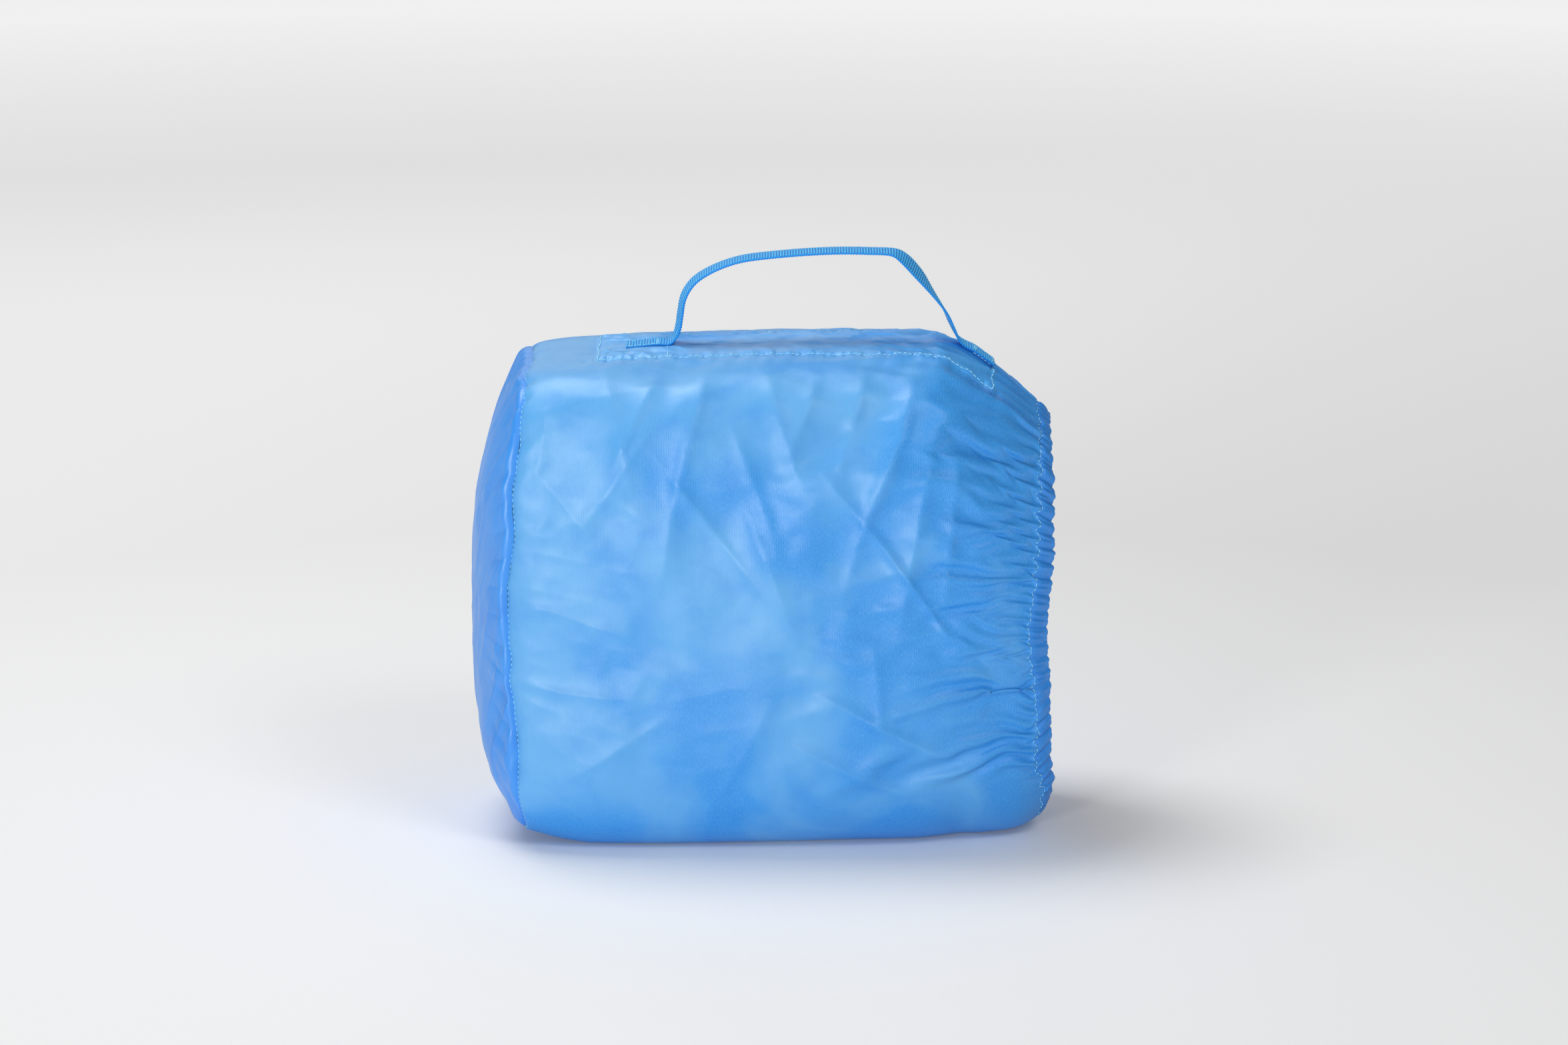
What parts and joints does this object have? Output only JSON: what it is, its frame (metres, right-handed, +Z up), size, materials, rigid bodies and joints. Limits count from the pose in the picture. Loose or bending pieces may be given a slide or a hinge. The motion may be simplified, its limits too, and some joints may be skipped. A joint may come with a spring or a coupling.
{
  "type": "packing cube",
  "caption": "Upright fabric packing cube with a closed bulging end, an elasticated gathered mouth at the other end and a webbing carry handle on top.",
  "frame": {"origin": "middle of the bag's footprint, on the surface it stands on", "axes": "+X towards the elasticated mouth, -X to the closed end, -Y to the front, +Z up through the handle"},
  "size_m": [0.3356, 0.1908, 0.3351],
  "materials": {
    "taffeta": "satin",
    "gathered_taffeta": "satin",
    "seam_cloth": "matte",
    "webbing": "matte",
    "elastic": "matte",
    "thread": "matte"
  },
  "bodies": {
    "bag": {"fabric_sleeve": "taffeta", "end_panel": "taffeta", "end_seam_allowance": "seam_cloth", "end_seam_stitching": "thread", "closing_seam": "seam_cloth", "top_reinforcement": "taffeta", "reinforcement_stitching": "thread", "handle_tab_left": "webbing", "handle_tab_right": "webbing", "tab_stitching_left": "thread", "tab_stitching_right": "thread", "backing_patch_left": "seam_cloth", "backing_patch_right": "seam_cloth"},
    "handle": {"handle_loop": "webbing"},
    "front_lip": {"mouth_gather_front": "taffeta", "hem_casing_front": "gathered_taffeta", "mouth_elastic_front": "elastic", "hem_stitching_front": "thread"},
    "back_lip": {"mouth_gather_back": "taffeta", "hem_casing_back": "gathered_taffeta", "mouth_elastic_back": "elastic", "hem_stitching_back": "thread"}
  },
  "joints": [
    {"name": "handle_swing", "type": "hinge", "parent": "bag", "child": "handle", "pos_m": [0, 0, 0.292], "axis": [1, 0, 0], "range_deg": [-85, 85]},
    {"name": "front_lip_stretch", "type": "slide", "parent": "bag", "child": "front_lip", "axis": [0, -1, 0], "range_m": [0, 0.025], "stiffness_N_per_m": 60},
    {"name": "back_lip_stretch", "type": "slide", "parent": "bag", "child": "back_lip", "axis": [0, 1, 0], "range_m": [0, 0.025], "stiffness_N_per_m": 60}
  ],
  "couplings": [
    {"joint": "back_lip_stretch", "follows": "front_lip_stretch", "ratio": 1}
  ]
}
